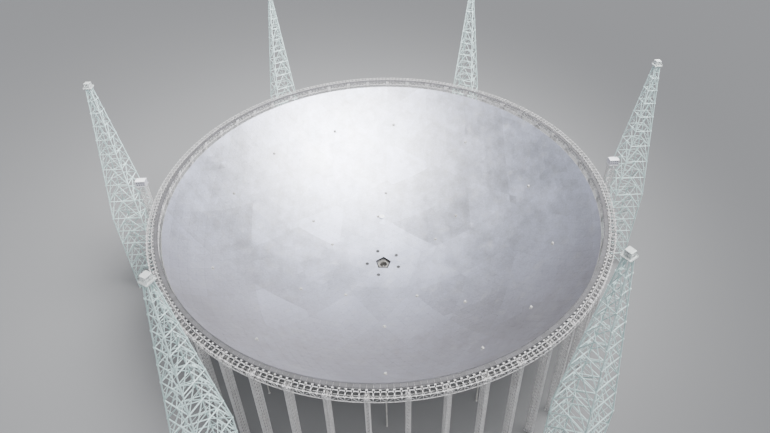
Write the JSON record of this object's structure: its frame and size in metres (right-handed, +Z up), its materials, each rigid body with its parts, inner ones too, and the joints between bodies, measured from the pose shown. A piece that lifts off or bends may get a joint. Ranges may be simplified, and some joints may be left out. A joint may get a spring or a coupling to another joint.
{
  "type": "radio telescope dish, 1:20 scale model",
  "caption": "Fixed spherical radio telescope bowl in a lattice ring girder on lattice columns, with lattice cable towers around it, as a 1:20 scale model.",
  "frame": {"origin": "on the floor, under the centre of the bowl", "axes": "+Z up along the bowl's axis; +X towards the pair of towers on the picture's right, so that the picture looks along +Y from the -Y side"},
  "size_m": [31.7014, 28.5398, 14.6003],
  "materials": {
    "panel": "satin, weathered",
    "girder": "light grey paint, dusty",
    "tower": "pale green-grey paint",
    "head": "pale grey paint",
    "house": "white sheeting",
    "dock": "grey paint"
  },
  "bodies": {
    "root": {"girder_section_01": "girder", "girder_section_02": "girder", "girder_section_03": "girder", "girder_section_04": "girder", "girder_section_05": "girder", "girder_section_06": "girder", "girder_section_07": "girder", "girder_section_08": "girder", "girder_section_09": "girder", "girder_section_10": "girder", "reflector_inner_1": "panel", "reflector_inner_2": "panel", "reflector_inner_3": "panel", "reflector_inner_4": "panel", "reflector_inner_5": "panel", "reflector_outer_01": "panel", "reflector_outer_02": "panel", "reflector_outer_03": "panel", "reflector_outer_04": "panel", "reflector_outer_05": "panel", "reflector_outer_06": "panel", "reflector_outer_07": "panel", "reflector_outer_08": "panel", "reflector_outer_09": "panel", "reflector_outer_10": "panel", "hub_frame": "dock", "docking_platform": "dock", "tower_1": "tower", "tower_head_1": "head", "winch_house_1": "house", "tower_2": "tower", "tower_head_2": "head", "tower_3": "tower", "tower_head_3": "head", "tower_4": "tower", "tower_head_4": "head", "winch_house_4": "house", "tower_5": "tower", "tower_head_5": "head", "tower_6": "tower", "tower_head_6": "head"}
  },
  "joints": []
}
